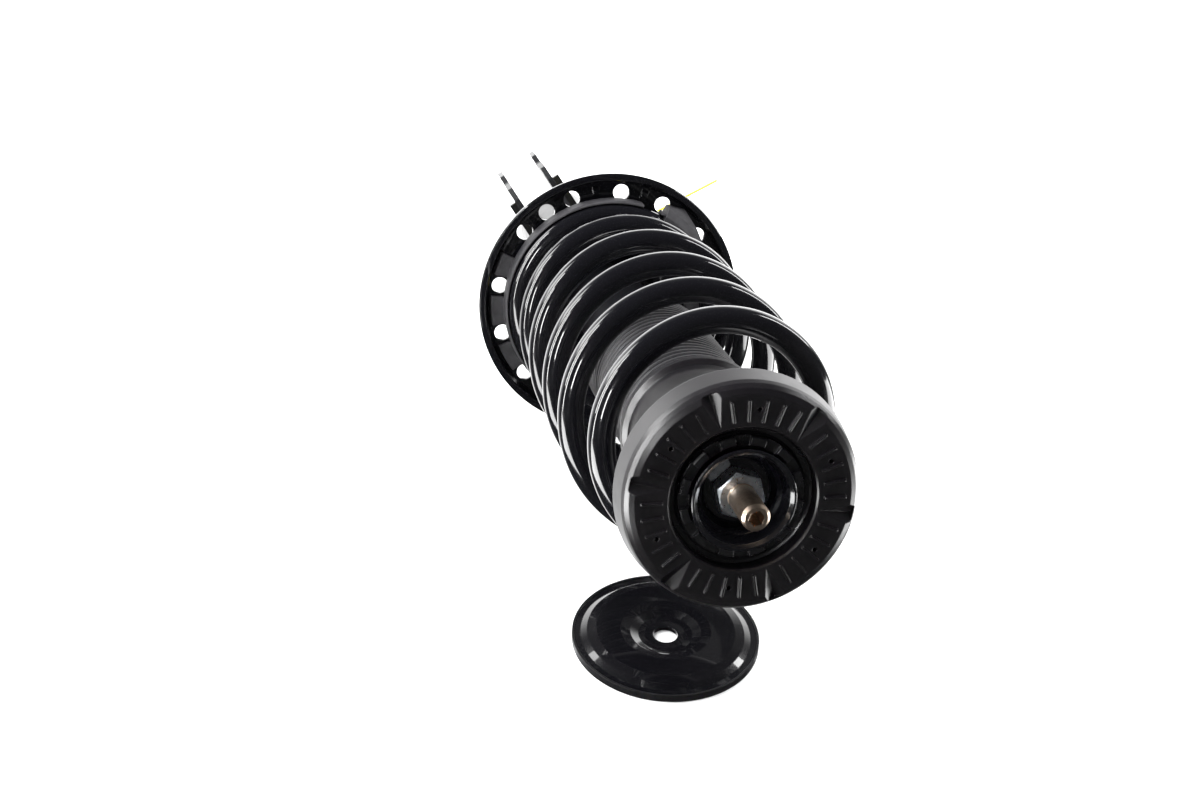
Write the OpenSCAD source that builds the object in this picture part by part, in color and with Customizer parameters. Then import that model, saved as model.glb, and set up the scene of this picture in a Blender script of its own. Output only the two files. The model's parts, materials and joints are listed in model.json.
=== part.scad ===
// Front suspension strut assembly, complete with spring, dust boot and top mount,
// lying on a bench on the rim of its lower spring seat and the foot of its knuckle bracket.
// A loose rebound plate lies in front of it.

/* [Stance] */
// Angle of the strut's axis above the bench, mount end up
rest_tilt = 13.6; // [10:0.1:18]
// Height of the mount's rib plane above the spring seat's rim, along the strut
mount_h = 370.6; // [350:0.1:400]

/* [Damper] */
// Outer radius of the damper tube
tube_r = 25.5; // [24:0.1:28]
// Wall of the damper tube
tube_wall = 2.5; // [2:0.1:3]
// Top end of the damper tube above the seat rim
tube_top = 150; // [140:1:160]
// Radius of the piston rod
rod_r = 11; // [10:0.1:12]
// Radius of the rod's threaded end
thread_r = 7; // [6:0.1:8]
// How far the rod's end stands above the mount's rib plane
rod_proud = 21.9; // [15:0.1:28]
// Travel of the rod before the jounce bumper meets the damper's cap
free_travel = 78; // [40:1:85]

/* [Lower spring seat] */
// Outer radius of the pressed pan
seat_r = 89.3; // [86:0.1:94]
// Radius of the circle of holes
hole_ring_r = 75.5; // [74:0.1:77]
// Radius of each hole
hole_r = 5.5; // [4:0.1:6]
// Depth of the pan below its rim
pan_depth = 8; // [6:0.5:10]
// Thickness of the pressed sheet
sheet = 3; // [2.5:0.1:3.5]

/* [Coil spring] */
// Radius of the spring's centreline
coil_r = 66; // [64:0.1:68]
// Radius of the end turns' centreline, in the lower isolator
foot_coil_r = 62.7; // [61:0.1:64]
// Radius of the top turn's centreline, around the neck of the upper seat
pigtail_r = 45.5; // [45:0.1:50]
// Radius of the spring wire
wire_r = 7.25; // [6.5:0.05:7.5]
// Rise of the spring in one turn
lead = 60.5; // [55:0.1:64]
// Sideways bow of the free turns
bow = 2; // [0:0.1:4]
// Turns from end to end
turns = 6.4; // [6:0.1:6.6]
// Angle at which the spring's lower end lies
foot_angle = 60; // [40:1:80]

/* [Dust boot] */
// Outer radius of the boot's pleats
boot_r = 39; // [37:0.1:41]
// Depth of a pleat
pleat_depth = 2.6; // [2:0.1:4]
// Number of pleats
pleats = 26; // [18:1:30]

/* [Top mount] */
// Radius of the mount at its rear rim
mount_r = 60.4; // [58:0.1:63]
// Outer radius of the flat, ribbed face
face_r = 53.2; // [50:0.1:54]
// Outer radius of the ring groove
groove_r = 36.2; // [35:0.1:37]
// Radius of the pressed cup's rim
cup_r = 26; // [25:0.1:27]
// Number of rib positions around the face
rib_count = 36; // [30, 36, 42]
// Angle of the first wedge recess
wedge_angle = 48.6; // [0:0.1:59]
// Width of the rod nut across its flats
nut_af = 22; // [21:0.1:24]

/* [Bearing] */
// Radius of the circle on which the balls run
race_r = 41; // [40:0.1:42]
// Radius of a ball
ball_r = 2.5; // [2:0.1:2.6]
// Number of balls
balls = 28; // [20:1:34]

/* [Knuckle bracket] */
// Direction in which the ears stand out from the tube
ear_angle = 122.2; // [90:0.1:150]
// Clear gap between the ears
ear_gap = 26; // [24:0.5:32]
// Thickness of an ear
ear_t = 4; // [3:0.1:5]
// Distance of the bolt line from the strut's axis
bolt_line = 52; // [48:0.1:54]
// Radius of the bolt holes
bolt_r = 7.1; // [6:0.05:8]
// Distance between the two bolt holes
bolt_pitch = 52; // [48:0.5:60]

/* [Rebound plate] */
// Outer radius of the plate with its rubber rim
plate_r = 54.7; // [50:0.1:58]
// Radius of the plate's hole
plate_hole_r = 7.15; // [7.1:0.05:7.5]
// Distance of the plate's centre in front of the seat's rim, along the bench
plate_ahead = 250.4; // [240:0.1:262]
// Distance of the plate's centre to the left of the strut
plate_left = 5.7; // [0:0.1:10]

/* [Hidden] */
$fn = 64;

// Lengths along the strut
tube_bottom = -262;
tube_in = tube_r - tube_wall;
fit = 0.05;                       // running fit between round parts
gap = 0.3;                        // clear gap between parts that only come close
wrap_r = tube_r + ear_t;          // outside of the bracket around the tube
cap_top = tube_top + 4;
boot_z0 = 133;
tail_end = 108;                   // free length of the cable tie's tail
wedge_count = 6;
wedge_end = 56.2;                 // outer end of the wedge recesses
boot_z1 = 264;
shell_z = mount_h - 21;           // underside of the mount shell
face_z = mount_h - 1.5;           // ribs stand this much above the face
cup_floor = mount_h - 19.3;
nut_top = mount_h - 6;
end_r = thread_r - 0.1;           // free end of the thread above the nut
flange_z = 343;                   // underside of the upper spring seat
race_z = flange_z + 2;
ball_z = race_z + 3;
shoulder_z = 338;                 // where the rod steps down to its thread
valve_z = 95;                     // underside of the piston
bolt_z = [-176, -176 - bolt_pitch];

// The bench touches the seat rim's lower edge
seat_h = seat_r * cos(rest_tilt) + (sheet + 0.5) * sin(rest_tilt);
bracket_foot = -(seat_h - wrap_r * cos(rest_tilt)) / sin(rest_tilt);
// Half way between the rod's tip and the base cup
rod_tip = (mount_h + rod_proud) * cos(rest_tilt) + (end_r - 1.4) * sin(rest_tilt);
base_tip = -(tube_bottom - 4) * cos(rest_tilt) + 19 * sin(rest_tilt);
mid_y = (rod_tip - base_tip) / 2;

steel_black = "#17171a";
gloss_black = "#101013";
rubber_black = "#26272a";
rubber_grey = "#3a3b3e";
zinc = "#b9bdc2";
yellow_zinc = "#a8977a";
bright = "#c9ccd0";

// ---- helpers ----

// Puts a strut part, modelled upright, where the strut lies
module lie() {
    translate([0, mid_y, seat_h]) rotate([90 - rest_tilt, 0, 0]) children();
}

module pipe(r_out, r_in, z0, z1) {
    translate([0, 0, z0]) difference() {
        cylinder(h = z1 - z0, r = r_out);
        translate([0, 0, -1]) cylinder(h = z1 - z0 + 2, r = r_in);
    }
}

module disc(r, z0, z1) {
    translate([0, 0, z0]) cylinder(h = z1 - z0, r = r);
}

// A turned part: points are [radius, height]
module turned(points) {
    rotate_extrude() polygon(points);
}

module around(count, start = 0) {
    for (i = [0 : count - 1]) rotate([0, 0, start + i * 360 / count]) children();
}

// A flat sector between two angles, used to cut rings into blocks
module sector(a0, a1, r, z0, z1) {
    translate([0, 0, z0]) linear_extrude(z1 - z0)
        polygon([
            [0, 0],
            r * [cos(a0), sin(a0)],
            r / cos((a1 - a0) / 2) * [cos((a0 + a1) / 2), sin((a0 + a1) / 2)],
            r * [cos(a1), sin(a1)]
        ]);
}

// ---- damper, lower end ----

module outer_tube() {
    color(steel_black) lie() {
        difference() {
            pipe(tube_r, tube_in, tube_bottom, tube_top);
            disc(tube_in + 1, tube_bottom - 1, tube_bottom + 2);
        }
        pipe(tube_r, 20.5, tube_top - 2, tube_top);
    }
}

module tube_base_cup() {
    color(steel_black) lie() turned([
        [0, tube_bottom - 4], [19, tube_bottom - 4], [tube_in + 0.9, tube_bottom],
        [tube_in + 0.9, tube_bottom + 2],
        [tube_in - 0.1, tube_bottom + 2], [tube_in - 0.1, tube_bottom + 10],
        [tube_in - 2.6, tube_bottom + 10],
        [tube_in - 2.6, tube_bottom + 2], [17.5, tube_bottom - 1.2], [0, tube_bottom - 1.2]
    ]);
}

// Half of the bracket's outline seen from the side: [distance from the axis, height]
module ear_outline() {
    top = bolt_z[0] + 20;
    root = sqrt(tube_r * tube_r - (ear_gap / 2 + ear_t) * (ear_gap / 2 + ear_t)) - 2;
    polygon([
        [root, bracket_foot], [40, bracket_foot], [bolt_line + 6, bracket_foot + 4],
        [66, bracket_foot + 12],
        [66.5, bolt_z[1] + 9], [62, bolt_z[1] + 16], [60, (bolt_z[0] + bolt_z[1]) / 2],
        [63, bolt_z[0] - 14],
        [67, bolt_z[0] - 8], [66.5, bolt_z[0] + 9], [bolt_line + 6, top - 3], [42, top], [root, top + 8]
    ]);
}

module knuckle_bracket() {
    half = ear_gap / 2;
    top = bolt_z[0] + 28;
    flange_top = bolt_z[0] + 17;
    color(steel_black) lie() rotate([0, 0, ear_angle]) difference() {
        union() {
            difference() {
                pipe(wrap_r, tube_r + fit, bracket_foot, top);
                // the wrap is open between the ears
                translate([0, -half, bracket_foot - 1]) cube([wrap_r + 1, 2 * half, top - bracket_foot + 2]);
            }
            for (side = [-1, 1])
                translate([0, side * (half + ear_t / 2) + ear_t / 2, 0])
                    rotate([90, 0, 0]) linear_extrude(ear_t) difference() {
                        ear_outline();
                        for (z = bolt_z) translate([bolt_line, z]) circle(r = bolt_r);
                    }
            // a stiffening flange turned outwards along each ear's top edge
            for (side = [-1, 1])
                translate([27, side * (half + ear_t + 2) - 3, flange_top - ear_t]) cube([30, 6, ear_t]);
        }
        disc(tube_r + fit, bracket_foot - 1, top + 1);
    }
}

module stabiliser_bracket() {
    z = -70;
    color(steel_black) lie() rotate([0, 0, 28]) difference() {
        translate([0, 0, z]) union() {
            translate([tube_r - 3, -9, -2.5]) cube([24, 18, 5]);
            translate([tube_r + 21, 0, -2.5]) cylinder(h = 5, r = 13);
            translate([tube_r - 3, -2.5, -20]) cube([9, 5, 18]);
        }
        translate([tube_r + 21, 0, z - 5]) cylinder(h = 10, r = 5.1);
        disc(tube_r + fit, z - 30, z + 30);
    }
}

module hose_bracket() {
    z = -118;
    color(steel_black) lie() rotate([0, 0, 205]) difference() {
        translate([0, 0, z]) union() {
            translate([tube_r - 2, -7, 0]) cube([16, 14, 2.5]);
            translate([tube_r + 16, 0, 0]) cylinder(h = 2.5, r = 10);
            translate([tube_r - 2, -7, -12]) cube([4.5, 14, 14]);
        }
        translate([tube_r + 16, 0, z - 5]) cylinder(h = 10, r = 6);
        translate([tube_r + 18, -2.5, z - 5]) cube([12, 5, 10]);
        disc(tube_r + fit, z - 30, z + 30);
    }
}

// The ring of holes: some stand 15 degrees apart, the others about 25
hole_angles = [60, 83, 109, 123.5, 138.5, 169.5, 195, 220, 245, 270, 295, 320, 345, 35];
ridge_angles = [71, 96, 116.3, 131, 147, 232, 307, 358, 20];

function at(r, a) = [r * cos(a), r * sin(a)];

// Part of a ring, from angle a0 to angle a1; points are [radius, height]
module arc(a0, a1, points) {
    rotate([0, 0, a0]) rotate_extrude(angle = a1 - a0) polygon(points);
}

module lower_spring_seat() {
    z1 = -pan_depth;
    z2 = z1 - sheet;
    hub = tube_r + fit;
    ridge = [[74, z1 - 1], [74, z1 + 0.3], [75.4, z1 + 1.4], [78.6, z1 + 1.4], [80, z1 + 0.3], [80, z1 - 1]];
    color(gloss_black) lie() difference() {
        union() {
            turned([
                [hub, -46], [hub + 3, -46], [hub + 3, -20], [34, z2 - 1], [38, z2], [81.5, z2],
                [84.5, z2 + 1],
                [86.3, z2 + 3], [87, -3.6], [seat_r - 0.8, -3.5], [seat_r, -2.7], [seat_r, -0.8],
                [seat_r - 0.8, 0],
                [85.6, 0], [84.6, -0.8], [84, -4], [83.2, -6.6], [81.9, z1], [39, z1],
                [35, z1 - 1], [31, -14],
                [hub, -15]
            ]);
            // pressed ridges between the holes
            for (a = ridge_angles) arc(a - 1.7, a + 1.7, ridge);
        }
        for (a = hole_angles) rotate([0, 0, a]) translate([hole_ring_r, 0, -20]) cylinder(h = 25, r = hole_r);
    }
}

module lower_isolator() {
    z0 = -pan_depth + 0.1;
    z1 = z0 + 0.2;
    lobe = [[68.5, z1], [81, z1], [81, -4], [80, -3.2], [68.5, -3.2]];
    color(rubber_grey) lie() difference() {
        union() {
            // the lip overhangs so that the pan's holes stay clear
            turned([
                [54, z0], [69.6, z0], [69.6, -3.4], [72.5, -3.4], [72.3, 6], [71.8, 7.2],
                [70.9, 7.6], [70.3, 6.6],
                [70.4, 3.6], [69.4, 0.6], [67.4, -2], [64.6, -3], [54, -3]
            ]);
            // lobes that stand out over the pan between the holes
            for (a = [[153, 164], [175, 189.5], [200.5, 214.5], [255, 264.5], [275.5, 289.5], [330, 339.5]])
                arc(a[0], a[1], lobe);
            // end stop for the wire
            intersection() {
                arc(18, foot_angle - 1.5, [[60, z1], [82, z1], [82, -3], [76, 6], [71, 9.5], [60, 9.5]]);
                translate([0, 0, z1 - 1]) linear_extrude(30) polygon([
                    at(50, 10), at(72.4, 20), at(74, 30), at(78, 40), at(81.5, 50),
                    at(77, foot_angle), at(50, foot_angle)
                ]);
            }
        }
        // open where the spring's lower end lies
        arc(foot_angle + 1, foot_angle + 12, [[50, -12], [86, -12], [86, 12], [50, 12]]);
    }
}

// Centreline of the spring, t in turns from its lower end
function coil_z(t) = -3 + wire_r + gap + lead * (eased(t, 0.16, 0.68) - eased(t, 5.65, 6.05));
function eased(t, a, b) = t <= a ? 0 : t >= b ? t - (a + b) / 2 : (t - a) * (t - a) / (b - a) / 2;
function blend(t, a, b) = t <= a ? 0 : t >= b ? 1 : (1 - cos(180 * (t - a) / (b - a))) / 2;
function coil_radius(t) = foot_coil_r + (coil_r - foot_coil_r) * blend(t, 0.9, 1.9)
    - (coil_r - pigtail_r) * blend(t, 5.0, 5.8);
// the free turns bow sideways a little, as in a side-load spring
function coil_bow(t) = bow * blend(t, 0.5, 1.5) * (1 - blend(t, 5.0, 5.8));
function coil_at(t) = let(a = foot_angle + 360 * t, r = coil_radius(t))
    [r * cos(a) + coil_bow(t), r * sin(a) + coil_bow(t) / 2, coil_z(t)];

module coil_spring() {
    sides = 12;
    per_turn = 36;
    n = floor(turns * per_turn);
    step = turns / n;
    rings = [for (i = [0 : n]) let(
        t = i * step,
        p = coil_at(t),
        d = coil_at(t + 0.002) - coil_at(t - 0.002),
        f = d / norm(d),
        side = cross(f, [0, 0, 1]) / norm(cross(f, [0, 0, 1])),
        up = cross(side, f)
    ) for (k = [0 : sides - 1]) p + wire_r * (cos(360 * k / sides) * side + sin(360 * k / sides) * up)];
    faces = concat(
        [[for (k = [0 : sides - 1]) k]],
        [for (i = [0 : n - 1]) for (k = [0 : sides - 1]) let(m = (k + 1) % sides)
            [i * sides + k, (i + 1) * sides + k, (i + 1) * sides + m, i * sides + m]],
        [[for (k = [0 : sides - 1]) n * sides + sides - 1 - k]]
    );
    color(gloss_black) lie() polyhedron(points = rings, faces = faces, convexity = 12);
}

module pressure_tube() {
    color(bright) lie() pipe(16, 14.6, tube_bottom + 16, tube_top - 20);
}

module base_valve() {
    z = tube_bottom + 10.5;
    color(bright) lie() difference() {
        turned([
            [0, z], [17, z], [17, z + 5.3], [14.4, z + 5.3], [14.4, z + 14], [4, z + 14],
            [4, z + 18], [0, z + 18]
        ]);
        around(6) translate([9.5, 0, z - 1]) cylinder(h = 20, r = 1.6);
    }
}

module rod_guide() {
    z = tube_top - 20;
    color(bright) lie() turned([
        [12.6, z - 6], [14.5, z - 6], [14.5, z + 0.1], [tube_in - 0.1, z + 0.1], [tube_in - 0.1, z + 10],
        [18.1, z + 10], [18.1, z + 5.9], [12.6, z + 5.9]
    ]);
}

module guide_bush() {
    z = tube_top - 26;
    color(yellow_zinc) lie() pipe(12.55, rod_r + fit, z + 1, z + 11.5);
}

module oil_seal() {
    z = tube_top - 10;
    color(rubber_black) lie() turned([
        [rod_r + fit, z + 1], [rod_r + 3, z - 3.5], [18, z - 3.5], [18, z + 0.2], [tube_in - 0.1, z + 0.2],
        [tube_in - 0.1, z + 7.8], [13.5, z + 7.8], [rod_r + fit, z + 5]
    ]);
}

module tube_top_cap() {
    color(rubber_black) lie() difference() {
        turned([
            [13, tube_top + 0.1], [tube_r + 0.05, tube_top + 0.1], [tube_r + 0.05, tube_top - 10],
            [tube_r + 2, tube_top - 10], [tube_r + 2, cap_top - 1], [tube_r + 1, cap_top], [13, cap_top]
        ]);
        around(6) translate([19, 0, cap_top - 1.5]) cube([10, 2.4, 4], center = true);
    }
}

module boot_collar() {
    color(rubber_black) lie() turned([
        [tube_r + 0.05, boot_z0 - 7], [30, boot_z0 - 7], [36.6, boot_z0 - 3], [36.6, boot_z0 - 0.2],
        [34, boot_z0 - 0.2], [29, boot_z0 - 3.5], [tube_r + 0.05, boot_z0 - 3.5]
    ]);
}

// A cable tie round the tube, under the pan, with its long tail standing off
module nylon_tie() {
    z = -50;
    strap = 1.1;
    color("#d8c64a") lie() rotate([0, 0, 26]) {
        pipe(tube_r + fit + strap, tube_r + fit, z - 1.25, z + 1.25);
        translate([-2, tube_r + fit + 0.2, z - 2]) cube([4.6, 4, 4]);
        translate([1, tube_r + fit + 2, z - 1.25]) cube([tail_end, strap, 2.5]);
    }
}

// ---- upper seat ----

module upper_isolator() {
    z1 = flange_z - 0.1;
    color(rubber_grey) lie() turned([
        [38, z1 - 5], [38, z1], [56, z1], [57, z1 - 1.2], [56, z1 - 2.3], [39.6, z1 - 2.3], [38.8, z1 - 5]
    ]);
}

module upper_spring_seat() {
    color(rubber_black) lie() turned([
        [34.2, boot_z1 + 0.2], [40.6, boot_z1 + 0.2], [41.6, boot_z1 + 2.5], [41.2, boot_z1 + 6],
        [38.6, boot_z1 + 9],
        [37.2, boot_z1 + 30], [37.4, flange_z - 4], [37.8, flange_z], [57, flange_z], [58, flange_z + 0.8],
        [57.6, flange_z + 2], [33, flange_z + 2], [33, boot_z1 + 20]
    ]);
}

module lower_race() {
    color(bright) lie() difference() {
        pipe(race_r + 4.2, race_r - 4.2, race_z, race_z + 2.2);
        translate([0, 0, ball_z]) rotate_extrude() translate([race_r, 0]) circle(r = ball_r + fit);
    }
}

module dust_boot() {
    p = (boot_z1 - boot_z0) / pleats;
    outer = [for (i = [0 : pleats - 1]) each [
        [boot_r - pleat_depth, boot_z0 + i * p], [boot_r, boot_z0 + (i + 0.5) * p]
    ]];
    inner = [for (i = [0 : pleats - 1]) each [
        [boot_r - 1.5, boot_z1 - (i + 0.5) * p], [boot_r - pleat_depth - 1.5, boot_z1 - (i + 1) * p]
    ]];
    color(rubber_black) lie() turned(concat(
        outer,
        [[boot_r - pleat_depth, boot_z1], [boot_r - pleat_depth - 1.5, boot_z1]],
        inner
    ));
}

// ---- bearing ----

module ball_cage() {
    color("#c9c4b4") lie() difference() {
        pipe(race_r + 3, race_r - 3, ball_z - 0.6, ball_z + 0.6);
        around(balls) translate([race_r, 0, ball_z - 3]) cylinder(h = 6, r = ball_r + 0.1);
    }
}

module bearing_balls() {
    color(bright) lie() around(balls) translate([race_r, 0, ball_z]) sphere(r = ball_r);
}

// ---- top mount and rod ----

// One raised rib on the mount's face
module rib(r0, r1) {
    translate([r0, -0.6, face_z - 0.3]) cube([r1 - r0, 1.2, mount_h - face_z + 0.3]);
}

// Everything above one wall of a wedge recess
module for_side(side) {
    fall = 14.5;
    lean = 37;
    translate([38.2, 0, face_z]) rotate([0, fall, 0]) rotate([side * lean, 0, 0])
        translate([-1, -25, 0]) cube([32, 50, 30]);
}

module mount_shell() {
    z = shell_z;
    f = face_z;
    step = 360 / rib_count;
    color(rubber_black) lie() difference() {
        union() {
            turned([
                [groove_r, z + 0.6], [36.6, z + 1.6], [race_r + 5, z + 1.6], [race_r + 5, z],
                [mount_r - 0.7, z],
                [mount_r, z + 0.8], [58.6, f - 6.5], [57.7, f - 3.6], [55.9, f - 1.3],
                [face_r, f], [groove_r + 1, f],
                [groove_r, f - 1]
            ]);
            // ribs, left out at the wedges
            for (i = [0 : rib_count - 1])
                if (i % (rib_count / wedge_count) != 0)
                    rotate([0, 0, wedge_angle + i * step]) rib(39.8, 50.4);
        }
        // wedge recesses: V-shaped valleys, deeper and wider outwards, closed by an end wall
        around(wedge_count, wedge_angle) intersection() {
            for_side(1);
            for_side(-1);
            translate([0, 0, f - 9]) cylinder(h = 12, r = wedge_end);
        }
        // one small pin hole in each sector
        around(wedge_count, wedge_angle + 33.5) translate([45.8, 0, f - 4]) cylinder(h = 8, r = 1.15);
    }
}

module mount_insulator() {
    z = shell_z;
    top = mount_h - 4.4;
    block = 15;
    color(rubber_black) lie() {
        turned([
            [thread_r + 4.2, z - 8.6], [29.3, z - 8.6], [29.3, z + 0.5], [groove_r - 0.1, z + 0.5],
            [groove_r - 0.1, mount_h - 9.6], [34.8, mount_h - 10.4], [32.6, mount_h - 10.4],
            [31.3, mount_h - 9],
            [31.3, mount_h - 7], [25.6, mount_h - 7], [20.2, cup_floor + 4],
            [19.2, cup_floor + 1.6], [18, cup_floor - 0.1],
            [thread_r + 4.2, cup_floor - 0.1]
        ]);
        // castellated ring
        intersection() {
            turned([
                [25.6, mount_h - 7.2], [31.3, mount_h - 7.2], [31.3, top - 0.8], [30.4, top], [26.9, top]
            ]);
            for (i = [0 : 11]) sector(i * 30 + 8, i * 30 + 8 + block, 40, mount_h - 8, mount_h);
        }
    }
}

module mount_cup() {
    z = cup_floor;
    color(gloss_black) lie() turned([
        [thread_r + 0.15, z], [17.6, z], [18.9, z + 1.6], [20.6, z + 7.4], [22.4, z + 9.6],
        [23.4, z + 14.8],
        [24.6, z + 17.2], [cup_r, z + 17.9], [cup_r, mount_h - 0.4], [cup_r - 0.5, mount_h],
        [24.6, mount_h],
        [22.9, mount_h - 1.6], [21.6, z + 14.2], [20.6, z + 11], [18.8, z + 8.8], [17.1, z + 3.2],
        [16.2, z + 2.4],
        [thread_r + 0.15, z + 2.4]
    ]);
}

module inner_sleeve() {
    color(bright) lie() pipe(thread_r + 4, thread_r + 0.15, shoulder_z + 0.1, cup_floor - 0.1);
}

module rod_nut() {
    z = cup_floor + 2.5;
    h = nut_top - z;
    color(zinc) lie() difference() {
        intersection() {
            rotate([0, 0, 42]) disc6(nut_af / 2 / cos(30), z, z + h);
            turned([[0, z], [nut_af / 2 + 0.3, z], [nut_af / 2 + 2, z + 1], [nut_af / 2 + 2, z + h - 1.4],
                [nut_af / 2 - 0.6, z + h], [0, z + h]]);
        }
        disc(thread_r + 0.02, z - 1, z + h + 1);
    }
}

module disc6(r, z0, z1) {
    translate([0, 0, z0]) cylinder(h = z1 - z0, r = r, $fn = 6);
}

module upper_race() {
    color(bright) lie() difference() {
        pipe(race_r + 4.2, race_r - 4.2, ball_z + 0.9, shell_z + 1.5);
        translate([0, 0, ball_z]) rotate_extrude() translate([race_r, 0]) circle(r = ball_r + fit);
    }
}

module piston_rod() {
    tip = mount_h + rod_proud;
    color(yellow_zinc) lie() difference() {
        turned([
            [0, valve_z - 12], [5, valve_z - 12], [5, valve_z + 22], [rod_r, valve_z + 22],
            [rod_r, shoulder_z - 1],
            [rod_r - 1, shoulder_z], [thread_r, shoulder_z], [thread_r, nut_top + 0.3],
            [end_r - 0.9, nut_top + 0.8],
            [end_r - 0.9, nut_top + 1.6], [end_r, nut_top + 2.2], [end_r, tip - 1.6],
            [end_r - 1.4, tip], [0, tip]
        ]);
        rotate([0, 0, 12]) disc6(4.05, tip - 13, tip + 1);
    }
}

module piston() {
    color(bright) lie() difference() {
        turned([
            [5.1, valve_z], [14.2, valve_z], [14.2, valve_z + 3], [13.2, valve_z + 3], [13.2, valve_z + 12],
            [14.2, valve_z + 12], [14.2, valve_z + 15], [5.1, valve_z + 15]
        ]);
        around(6, 30) translate([9.6, 0, valve_z - 1]) cylinder(h = 17, r = 1.5);
    }
}

module piston_band() {
    color("#6d4a2a") lie() pipe(14.55, 13.3, valve_z + 3.1, valve_z + 11.9);
}

module valve_discs() {
    z = valve_z + 15.2;
    color(zinc) lie() for (i = [0 : 3]) pipe(12.4 - i * 1.6, 5.1, z + i * 1.6, z + 1.2 + i * 1.6);
}

module piston_nut() {
    color(zinc) lie() difference() {
        disc6(9.8, valve_z - 9, valve_z - 0.2);
        disc(5.02, valve_z - 10, valve_z);
    }
}

module rebound_stop() {
    z = tube_top - 34;
    color(rubber_black) lie() turned([
        [rod_r + 0.1, z], [13.4, z], [14.1, z + 2], [14.1, z + 5], [13.2, z + 7.4], [rod_r + 0.1, z + 7.4]
    ]);
}

module jounce_bumper() {
    z0 = cap_top + free_travel;
    color("#b7a06a") lie() turned([
        [rod_r + gap, z0], [16, z0], [18.5, z0 + 4], [17, z0 + 9], [17, z0 + 11], [22, z0 + 17],
        [22, z0 + 23],
        [18.6, z0 + 28], [18.6, z0 + 30], [24, z0 + 36], [25, z0 + 54], [rod_r + gap, z0 + 54]
    ]);
}

module bumper_cup() {
    z = cap_top + free_travel + 54.2;
    color(steel_black) lie() turned([
        [rod_r + gap, z], [26, z], [26, z - 12], [28, z - 12], [28, z + 2.3], [14, z + 2.3],
        [14, shoulder_z],
        [rod_r + gap, shoulder_z]
    ]);
}

// ---- loose rebound plate, lying flat on the bench ----

module at_plate() {
    translate([-plate_left, mid_y - plate_ahead, 0]) children();
}

module rebound_plate() {
    r = plate_r;
    color(gloss_black) at_plate() turned([
        [plate_hole_r, 0.6], [13, 0.6], [17, 1.2], [22, 3.6], [27, 4.8], [40, 4.8], [45, 3.6],
        [49.3, 1.5], [r - 1.4, 1.5],
        [r - 1.4, 4.0], [49.8, 4.0], [46, 6.0], [40.6, 7.3], [26.4, 7.3], [20.8, 6.0],
        [15.8, 3.6], [12.2, 3.1],
        [plate_hole_r, 3.1]
    ]);
}

module plate_rim() {
    r = plate_r;
    color(rubber_black) at_plate() turned([
        [48.6, 0], [r, 0], [r, 4.4], [r - 1.3, 4.4], [r - 1.3, 1.4], [48.6, 1.4]
    ]);
}

outer_tube();
tube_base_cup();
knuckle_bracket();
stabiliser_bracket();
hose_bracket();
lower_spring_seat();
lower_isolator();
coil_spring();
pressure_tube();
base_valve();
rod_guide();
guide_bush();
oil_seal();
tube_top_cap();
boot_collar();
nylon_tie();
upper_isolator();
upper_spring_seat();
lower_race();
dust_boot();
ball_cage();
bearing_balls();
mount_shell();
mount_insulator();
mount_cup();
inner_sleeve();
rod_nut();
upper_race();
piston_rod();
piston();
piston_band();
valve_discs();
piston_nut();
rebound_stop();
jounce_bumper();
bumper_cup();
rebound_plate();
plate_rim();
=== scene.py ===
import json
import math

import bpy
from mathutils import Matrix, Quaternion, Vector


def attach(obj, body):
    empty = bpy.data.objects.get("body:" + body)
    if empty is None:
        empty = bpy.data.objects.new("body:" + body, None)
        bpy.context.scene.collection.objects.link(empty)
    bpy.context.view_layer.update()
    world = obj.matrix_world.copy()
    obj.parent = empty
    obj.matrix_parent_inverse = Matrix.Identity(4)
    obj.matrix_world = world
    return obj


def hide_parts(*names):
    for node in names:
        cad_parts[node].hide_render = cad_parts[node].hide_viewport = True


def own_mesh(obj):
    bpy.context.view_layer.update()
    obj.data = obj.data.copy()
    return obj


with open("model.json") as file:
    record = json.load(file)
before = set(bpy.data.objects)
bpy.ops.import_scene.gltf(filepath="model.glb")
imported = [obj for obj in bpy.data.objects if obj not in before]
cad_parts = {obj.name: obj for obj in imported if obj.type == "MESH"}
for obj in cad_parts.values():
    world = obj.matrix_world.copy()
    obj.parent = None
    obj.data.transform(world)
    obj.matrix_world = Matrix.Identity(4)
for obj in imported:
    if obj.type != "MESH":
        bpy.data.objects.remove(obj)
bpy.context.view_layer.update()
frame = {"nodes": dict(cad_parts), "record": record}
record = frame["record"]

# ---- where the strut lies -------------------------------------------------
# Strut coordinates: origin at the centre of the spring seat's rim plane, z along the strut towards the mount,
# x as the row's x and y upwards. All lengths are metres.
MM = 0.001
mounts = {m["name"]: m for m in record["mounts"]}
along = Vector(mounts["rod_thread"]["axis"]).normalized()
across = Vector((1, 0, 0))
upward = along.cross(across)

THREAD_MIDDLE = 378.85 * MM  # middle of the rod's free thread, above the seat's rim
seat_centre = Vector(mounts["rod_thread"]["pos_m"]) - along * THREAD_MIDDLE


def place(x, y, z):
    """A point of the strut, in the row frame."""
    return seat_centre + across * x + upward * y + along * z


def polar(r, angle, z):
    a = math.radians(angle)
    return place(r * math.cos(a), r * math.sin(a), z)


# ---- node materials -------------------------------------------------------


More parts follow.
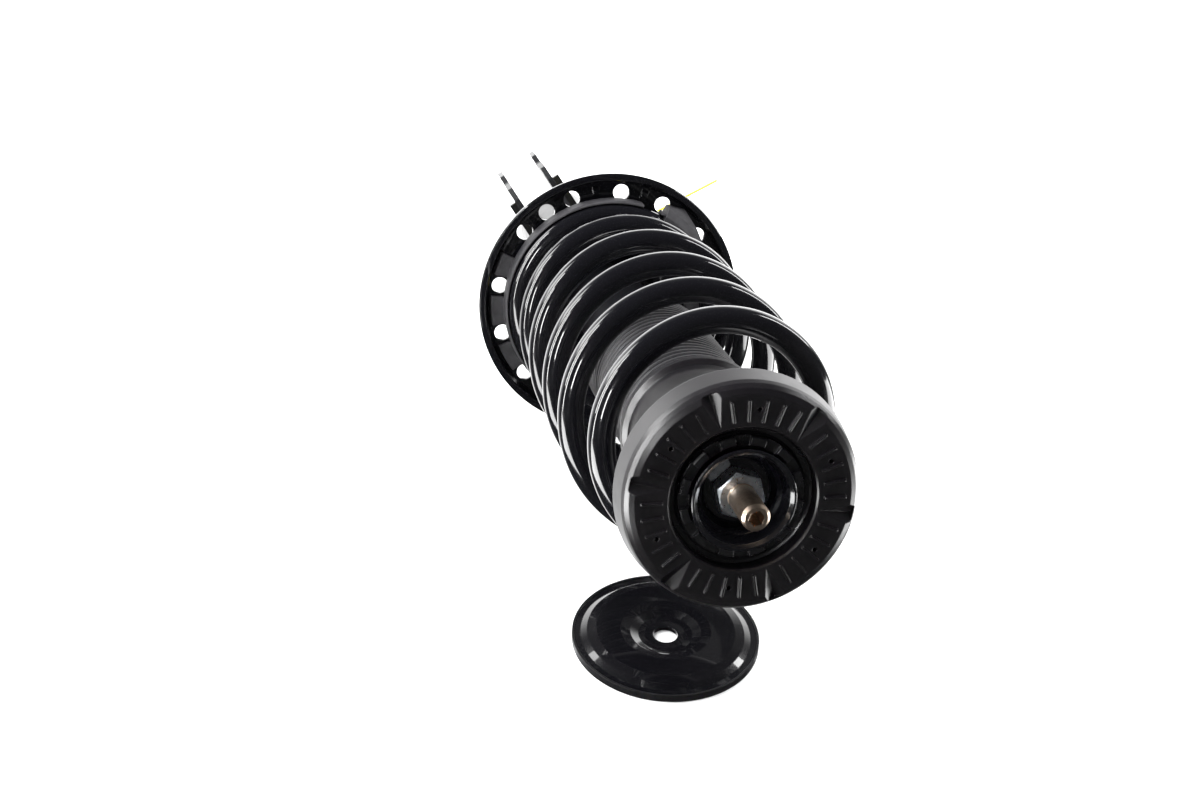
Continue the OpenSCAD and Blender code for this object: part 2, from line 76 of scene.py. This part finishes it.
class Mat:
    """A small helper that builds a node material around one Principled shader."""

    def __init__(self, name, color, rough, metal=0.0, coat=0.0, coat_rough=0.03, spec=0.5):
        self.m = bpy.data.materials.new(name)
        self.m.use_nodes = True
        self.t = self.m.node_tree
        self.b = self.t.nodes["Principled BSDF"]
        self.b.inputs["Base Color"].default_value = (*color, 1)
        self.b.inputs["Roughness"].default_value = rough
        self.b.inputs["Metallic"].default_value = metal
        self.b.inputs["Coat Weight"].default_value = coat
        self.b.inputs["Coat Roughness"].default_value = coat_rough
        self.b.inputs["Specular IOR Level"].default_value = spec
        self.m.diffuse_color = (*color, 1)
        self.color = color
        self.coord = self.node("ShaderNodeTexCoord").outputs["Object"]
        self.normal = None

    def node(self, kind, **inputs):
        n = self.t.nodes.new(kind)
        for k, v in inputs.items():
            n.inputs[k.replace("_", " ")].default_value = v
        return n

    def link(self, a, b):
        self.t.links.new(a, b)

    def noise(self, scale, detail=3.0, rough=0.55, stretch=None):
        n = self.node("ShaderNodeTexNoise", Scale=scale, Detail=detail, Roughness=rough)
        if stretch:
            mapping = self.node("ShaderNodeMapping")
            mapping.inputs["Scale"].default_value = stretch
            self.link(self.coord, mapping.inputs["Vector"])
            self.link(mapping.outputs["Vector"], n.inputs["Vector"])
        else:
            self.link(self.coord, n.inputs["Vector"])
        return n.outputs["Fac"]

    def ramp(self, fac, low, high, stops=(0.35, 0.65)):
        r = self.node("ShaderNodeMapRange")
        r.inputs["From Min"].default_value = stops[0]
        r.inputs["From Max"].default_value = stops[1]
        r.inputs["To Min"].default_value = low
        r.inputs["To Max"].default_value = high
        self.link(fac, r.inputs["Value"])
        return r.outputs["Result"]

    def round_edges(self, radius):
        """Edges catch light as if rounded."""
        b = self.node("ShaderNodeBevel", Radius=radius)
        b.samples = 6
        self.normal = b.outputs["Normal"]
        self.link(self.normal, self.b.inputs["Normal"])
        self.link(self.normal, self.b.inputs["Coat Normal"])
        return self

    def bump(self, fac, depth, strength=1.0, coat=False):
        n = self.node("ShaderNodeBump", Strength=strength, Distance=depth)
        self.link(fac, n.inputs["Height"])
        if self.normal is not None:
            self.link(self.normal, n.inputs["Normal"])
        self.normal = n.outputs["Normal"]
        self.link(self.normal, self.b.inputs["Normal"])
        if coat:
            self.link(self.normal, self.b.inputs["Coat Normal"])
        return self

    def vary(self, fac, other, stops=(0.4, 0.7)):
        """Blends the base colour towards another colour."""
        mix = self.node("ShaderNodeMix")
        mix.data_type = "RGBA"
        mix.inputs["A"].default_value = (*self.color, 1)
        mix.inputs["B"].default_value = (*other, 1)
        self.link(self.ramp(fac, 0, 1, stops), mix.inputs["Factor"])
        self.link(mix.outputs["Result"], self.b.inputs["Base Color"])
        return self

    def roughen(self, fac, low, high, stops=(0.35, 0.65)):
        self.link(self.ramp(fac, low, high, stops), self.b.inputs["Roughness"])
        return self


def gloss_paint():
    m = Mat("gloss_black_paint", (0.003, 0.003, 0.004), 0.22, coat=1.0, coat_rough=0.03, spec=0.25)
    m.round_edges(0.6 * MM)
    m.bump(m.noise(260, 2), 0.00002, 0.07, coat=True)
    m.roughen(m.noise(60, 4), 0.18, 0.26)
    return m.m


def spring_paint():
    m = Mat("spring_black_paint", (0.003, 0.003, 0.004), 0.2, coat=1.0, coat_rough=0.03, spec=0.2)
    m.bump(m.noise(260, 2), 0.00002, 0.08, coat=True)
    m.roughen(m.noise(90, 4), 0.14, 0.24)
    return m.m


def steel_black():
    m = Mat("black_steel", (0.004, 0.004, 0.005), 0.32, coat=0.3, coat_rough=0.2)
    m.round_edges(0.5 * MM)
    m.bump(m.noise(700, 3), 0.00001, 0.1)
    m.roughen(m.noise(80, 4), 0.3, 0.36)
    return m.m


def moulded_black():
    m = Mat("moulded_black", (0.0035, 0.003, 0.004), 0.3, spec=0.8)
    m.round_edges(0.9 * MM)
    m.bump(m.noise(1500, 3), 0.00002, 0.2)
    m.roughen(m.noise(140, 4), 0.29, 0.34)
    m.vary(m.noise(35, 5), (0.0055, 0.0048, 0.006))
    return m.m


def mount_rubber():
    m = Mat("mount_rubber", (0.004, 0.004, 0.0048), 0.28, spec=0.8)
    m.round_edges(0.7 * MM)
    m.bump(m.noise(900, 3), 0.00002, 0.2)
    m.roughen(m.noise(110, 5), 0.26, 0.34)
    return m.m


def isolator_rubber():
    m = Mat("isolator_rubber", (0.02, 0.0195, 0.0215), 0.58)
    m.round_edges(0.8 * MM)
    m.bump(m.noise(850, 4), 0.00012, 0.6)
    m.vary(m.noise(130, 6, 0.7), (0.032, 0.031, 0.034))
    m.roughen(m.noise(90, 4), 0.54, 0.72)
    return m.m


def boot_rubber():
    m = Mat("boot_rubber", (0.009, 0.0087, 0.0098), 0.4)
    m.bump(m.noise(900, 3), 0.00007, 0.5)
    m.roughen(m.noise(160, 4), 0.35, 0.46)
    m.vary(m.noise(60, 5), (0.013, 0.0127, 0.0138))
    return m.m


def seal_rubber():
    m = Mat("seal_rubber", (0.007, 0.007, 0.008), 0.36)
    m.round_edges(0.4 * MM)
    m.bump(m.noise(600, 4), 0.0001, 0.6)
    m.roughen(m.noise(120, 4), 0.3, 0.5)
    return m.m


def zinc():
    m = Mat("zinc_steel", (0.86, 0.9, 0.94), 0.3, metal=1.0)
    m.round_edges(0.35 * MM)
    m.bump(m.noise(1200, 3), 0.00003, 0.3)
    m.roughen(m.noise(500, 5), 0.26, 0.36)
    m.vary(m.noise(350, 5), (0.76, 0.8, 0.85))
    return m.m


def yellow_zinc():
    m = Mat("yellow_zinc_steel", (0.72, 0.58, 0.46), 0.3, metal=1.0)
    m.round_edges(0.3 * MM)
    m.bump(m.noise(1400, 3), 0.00001, 0.15)
    m.roughen(m.noise(700, 4), 0.28, 0.34)
    m.vary(m.noise(500, 5, 0.6), (0.62, 0.49, 0.38))
    return m.m


def bright():
    m = Mat("bright_steel", (0.6, 0.6, 0.62), 0.28, metal=1.0)
    m.round_edges(0.2 * MM)
    m.roughen(m.noise(300, 4), 0.2, 0.38)
    m.bump(m.noise(1200, 2), 0.00003, 0.3)
    return m.m


def bronze():
    m = Mat("bush_bronze", (0.45, 0.33, 0.2), 0.4, metal=1.0)
    m.bump(m.noise(1500, 3), 0.00005, 0.5)
    m.roughen(m.noise(300, 4), 0.3, 0.5)
    return m.m


def yellow_nylon():
    m = Mat("yellow_nylon", (0.78, 0.7, 0.05), 0.35)
    m.b.inputs["Subsurface Weight"].default_value = 0.2
    m.b.inputs["Subsurface Radius"].default_value = (0.002, 0.002, 0.001)
    m.bump(m.noise(700, 2), 0.00005, 0.3)
    m.roughen(m.noise(200, 3), 0.28, 0.42)
    return m.m


def cage_nylon():
    m = Mat("cage_nylon", (0.6, 0.56, 0.46), 0.45)
    m.bump(m.noise(900, 3), 0.00005, 0.4)
    m.roughen(m.noise(300, 3), 0.38, 0.52)
    return m.m


def foam():
    m = Mat("bumper_foam", (0.42, 0.33, 0.14), 0.75)
    m.bump(m.noise(1400, 5, 0.7), 0.00025, 0.8)
    m.vary(m.noise(200, 5), (0.34, 0.26, 0.1))
    return m.m


looks = {
    "black_steel": steel_black(),
    "gloss_black_paint": gloss_paint(),
    "isolator_rubber": isolator_rubber(),
    "bright_steel": bright(),
    "bush_bronze": bronze(),
    "seal_rubber": seal_rubber(),
    "moulded_black": moulded_black(),
    "yellow_nylon": yellow_nylon(),
    "boot_rubber": boot_rubber(),
    "cage_nylon": cage_nylon(),
    "mount_rubber": mount_rubber(),
    "zinc_steel": zinc(),
    "yellow_zinc_steel": yellow_zinc(),
    "bumper_foam": foam(),
}
for part in record["subparts"]:
    cad = frame["nodes"][part["node"]]
    cad.data.materials.clear()
    cad.data.materials.append(looks[part["material_slot"]])

# ---- mesh pieces ----------------------------------------------------------


def mesh_piece(name, points, faces, look, smooth=True):
    mesh = bpy.data.meshes.new(name)
    mesh.from_pydata([tuple(p) for p in points], [], faces)
    mesh.update()
    ob = bpy.data.objects.new(name, mesh)
    bpy.context.scene.collection.objects.link(ob)
    mesh.materials.append(look)
    if smooth:
        mesh.shade_smooth()
    return ob


def lathe(name, profile, look, sides=192):
    """A closed ring: profile is a closed outline of (radius, height) in mm."""
    points, faces = [], []
    n = len(profile)
    for i in range(sides):
        a = 360 * i / sides
        for r, z in profile:
            points.append(polar(r * MM, a, z * MM))
    for i in range(sides):
        j = (i + 1) % sides
        for k in range(n):
            m = (k + 1) % n
            faces.append((i * n + k, j * n + k, j * n + m, i * n + m))
    return mesh_piece(name, points, faces, look)


# Coil spring, the same line as the CAD solid but round and smooth
FOOT_ANGLE = 60  # degrees
TURNS = 6.4
WIRE = 7.25  # radius of the wire
FOOT_R, COIL_R, PIGTAIL_R = 62.7, 66, 45.5  # radii of the lower end, the free turns and the upper end
LEAD = 60.5  # rise per free turn
BOW = 2  # sideways bow of the free turns
CHANNEL_Z, GAP = -3, 0.3  # the isolator's channel and the clear gap over it
WIDEN, NARROW = (0.9, 1.9), (5.0, 5.8)  # in turns, where the radius changes
TAKE_OFF, LEVEL_OUT = (0.16, 0.68), (5.65, 6.05)  # in turns, where the rise starts and stops
BOW_START = (0.5, 1.5)
NUDGE = 0.002  # in turns, for the wire's direction


def eased(t, a, b):
    """Rises from nothing at a to a slope of one at b."""
    return 0 if t <= a else t - (a + b) / 2 if t >= b else (t - a) ** 2 / (b - a) / 2


def ramped(t, a, b):
    """Goes smoothly from 0 at a to 1 at b."""
    return 0 if t <= a else 1 if t >= b else (1 - math.cos(math.pi * (t - a) / (b - a))) / 2


def coil_point(t):
    """A point of the wire's centreline, t in turns from the lower end."""
    r = FOOT_R + (COIL_R - FOOT_R) * ramped(t, *WIDEN) - (COIL_R - PIGTAIL_R) * ramped(t, *NARROW)
    z = CHANNEL_Z + WIRE + GAP + LEAD * (eased(t, *TAKE_OFF) - eased(t, *LEVEL_OUT))
    bow = BOW * ramped(t, *BOW_START) * (1 - ramped(t, *NARROW))
    return polar(r * MM, FOOT_ANGLE + 360 * t, z * MM) + (across + upward / 2) * bow * MM


def coil():
    per_turn, sides = 144, 36
    steps = int(TURNS * per_turn)
    points, faces = [], []
    # the two ends are cut square with a small chamfer
    chamfer, inset = 0.86, 0.0009
    stations = [(0.0, chamfer), (inset, 1.0)]
    stations += [(i / steps, 1.0) for i in range(1, steps)]
    stations += [(1 - inset, 1.0), (1.0, chamfer)]
    for share, size in stations:
        t = share * TURNS
        p = coil_point(t)
        f = (coil_point(t + NUDGE) - coil_point(t - NUDGE)).normalized()
        side = f.cross(along).normalized()
        up = side.cross(f)
        for k in range(sides):
            a = 2 * math.pi * k / sides
            points.append(p + WIRE * MM * size * (math.cos(a) * side + math.sin(a) * up))
    for i in range(len(stations) - 1):
        for k in range(sides):
            m = (k + 1) % sides
            faces.append((i * sides + k, (i + 1) * sides + k, (i + 1) * sides + m, i * sides + m))
    last = (len(stations) - 1) * sides
    faces.append(tuple(range(sides)))
    faces.append(tuple(last + sides - 1 - k for k in range(sides)))
    ob = mesh_piece("spring_wire", points, faces, spring_paint())
    ob.data.polygons[-1].use_smooth = False
    ob.data.polygons[-2].use_smooth = False
    return ob


spring = coil()
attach(spring, "damper")
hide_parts("coil_spring")
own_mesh(spring)


# Dust boot: wide pleats with narrow grooves, over a wall of even thickness
BOOT_FOOT, BOOT_TOP = 133, 264
PLEATS = 24


def boot():
    crest, depth, wall = 39.0, 2.2, 1.4
    pitch = (BOOT_TOP - BOOT_FOOT) / PLEATS
    per_pleat, sharpness = 12, 5
    outer = []
    for i in range(PLEATS * per_pleat + 1):
        t = i / per_pleat
        groove = abs(math.cos(math.pi * t)) ** sharpness
        outer.append((crest - depth * groove, BOOT_FOOT + pitch * t))
    inner = [(r - wall, z) for r, z in reversed(outer)]
    return lathe("boot_skin", outer + inner, looks["boot_rubber"], 160)


skin = boot()
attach(skin, "damper")
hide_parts("dust_boot")
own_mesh(skin)


# Jounce bumper: foam on the rod, two soft waists and a rounded nose
def bumper():
    outline = [
        (11.6, 232.4), (13.5, 232), (16.2, 232.4), (18.2, 234.6), (18.3, 237), (17.2, 240), (16.9, 242.4),
        (17.8, 244.8), (20.6, 247.4), (21.8, 250), (21.8, 254.2), (20.6, 257.4), (19, 259.6), (18.5, 261.4),
        (19.4, 263.6), (22, 266), (23.8, 269.4), (24.6, 276), (24.9, 285.8), (11.6, 285.8),
    ]
    return lathe("bumper_foam", outline, looks["bumper_foam"], 96)


foam_block = bumper()
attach(foam_block, "mount")
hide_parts("jounce_bumper")
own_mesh(foam_block)


# ---- floor, light and camera ----------------------------------------------

floor_mesh = bpy.data.meshes.new("floor")
HALF = 6.0  # half the floor's side
corners = [(-HALF, -HALF, 0), (HALF, -HALF, 0), (HALF, HALF, 0), (-HALF, HALF, 0)]
floor_mesh.from_pydata(corners, [], [(0, 1, 2, 3)])
floor = bpy.data.objects.new("floor", floor_mesh)
bpy.context.scene.collection.objects.link(floor)
floor_look = Mat("floor_white", (0.93, 0.935, 0.935), 0.5, spec=0.3)
floor_look.roughen(floor_look.noise(12, 3), 0.45, 0.6)
floor_mesh.materials.append(floor_look.m)
floor.visible_glossy = False  # the paint mirrors the studio, not the paper under it

# The room is white low down behind the strut (+Y) and dark elsewhere, so the black paint stays black
world = bpy.data.worlds.new("studio")
bpy.context.scene.world = world
world.use_nodes = True
sky = world.node_tree
backing = sky.nodes["Background"]
direction = sky.nodes.new("ShaderNodeTexCoord").outputs["Generated"]
split = sky.nodes.new("ShaderNodeSeparateXYZ")
sky.links.new(direction, split.inputs["Vector"])
behind = sky.nodes.new("ShaderNodeMapRange")
behind.interpolation_type = "SMOOTHSTEP"
behind.inputs["From Min"].default_value = 0.35
behind.inputs["From Max"].default_value = 0.85
behind.inputs["To Min"].default_value = 0.0
behind.inputs["To Max"].default_value = 2.3
sky.links.new(split.outputs["Y"], behind.inputs["Value"])
low = sky.nodes.new("ShaderNodeMapRange")
low.interpolation_type = "SMOOTHSTEP"
low.inputs["From Min"].default_value = 0.22
low.inputs["From Max"].default_value = 0.5
low.inputs["To Min"].default_value = 1.0
low.inputs["To Max"].default_value = 0.05
sky.links.new(split.outputs["Z"], low.inputs["Value"])
both = sky.nodes.new("ShaderNodeMath")
both.operation = "MULTIPLY_ADD"
sky.links.new(behind.outputs["Result"], both.inputs[0])
sky.links.new(low.outputs["Result"], both.inputs[1])
both.inputs[2].default_value = 0.05
sky.links.new(both.outputs["Value"], backing.inputs["Strength"])
backing.inputs["Color"].default_value = (1, 1, 1, 1)


def area(name, at, towards, size, power, size_y, mirrored=True):
    """A soft light. One that isn't mirrored lights the scene but shows in no reflection."""
    lamp = bpy.data.lights.new(name, "AREA")
    lamp.shape = "RECTANGLE"
    lamp.size = size
    lamp.size_y = size_y
    lamp.energy = power
    ob = bpy.data.objects.new(name, lamp)
    bpy.context.scene.collection.objects.link(ob)
    ob.location = at
    ob.rotation_euler = (Vector(towards) - Vector(at)).to_track_quat("-Z", "Y").to_euler()
    ob.visible_glossy = mirrored
    ob.visible_camera = False
    return ob


strut_middle = (0, 0, 0.1)
area("overhead", (0.0, 0.45, 1.9), (0, 0.45, 0), 2.6, 170, 2.4, mirrored=False)
area("left_card", (-0.66, -0.42, 0.03), (-0.5, -0.42, 1), 0.5, 12, 0.6)
area("right_card", (0.62, -0.3, 0.03), (0.5, -0.3, 1), 0.5, 9, 0.7)
area("key", (-0.75, -1.15, 0.75), (0, -0.3, 0.15), 0.16, 5, 0.3)
area("left_strip_near", (-1.3, -0.3, 0.6), strut_middle, 0.09, 11, 1.1)
area("left_strip_far", (-1.25, 0.05, 0.8), strut_middle, 0.09, 11, 1.1)
area("left_soft", (-1.1, 0.55, 0.9), strut_middle, 0.5, 9, 0.7)
area("right_strip", (1.35, 0.3, 0.8), strut_middle, 0.16, 6, 0.9)

# The camera stands in front of the mount, left of the strut and above it
CAMERA_OFFSET = Vector((-0.1933, -0.9870, 0.6291))  # from the floor under the spring seat
AZIMUTH, ELEVATION, ROLL = (math.radians(a) for a in (-10.9, 31.63, 2.83))
cam_data = bpy.data.cameras.new("camera")
cam_data.sensor_fit = "HORIZONTAL"
cam_data.sensor_width = 36
cam_data.lens = 50
camera = bpy.data.objects.new("camera", cam_data)
bpy.context.scene.collection.objects.link(camera)
seat_floor = Vector((seat_centre.x, seat_centre.y, 0))
camera.location = seat_floor + CAMERA_OFFSET
view = Vector((
    -math.sin(AZIMUTH) * math.cos(ELEVATION),
    math.cos(AZIMUTH) * math.cos(ELEVATION),
    -math.sin(ELEVATION),
))
level = view.to_track_quat("-Z", "Y")
camera.rotation_euler = (Quaternion(view, -ROLL) @ level).to_euler()
bpy.context.scene.camera = camera
bpy.context.scene.view_settings.view_transform = "Standard"
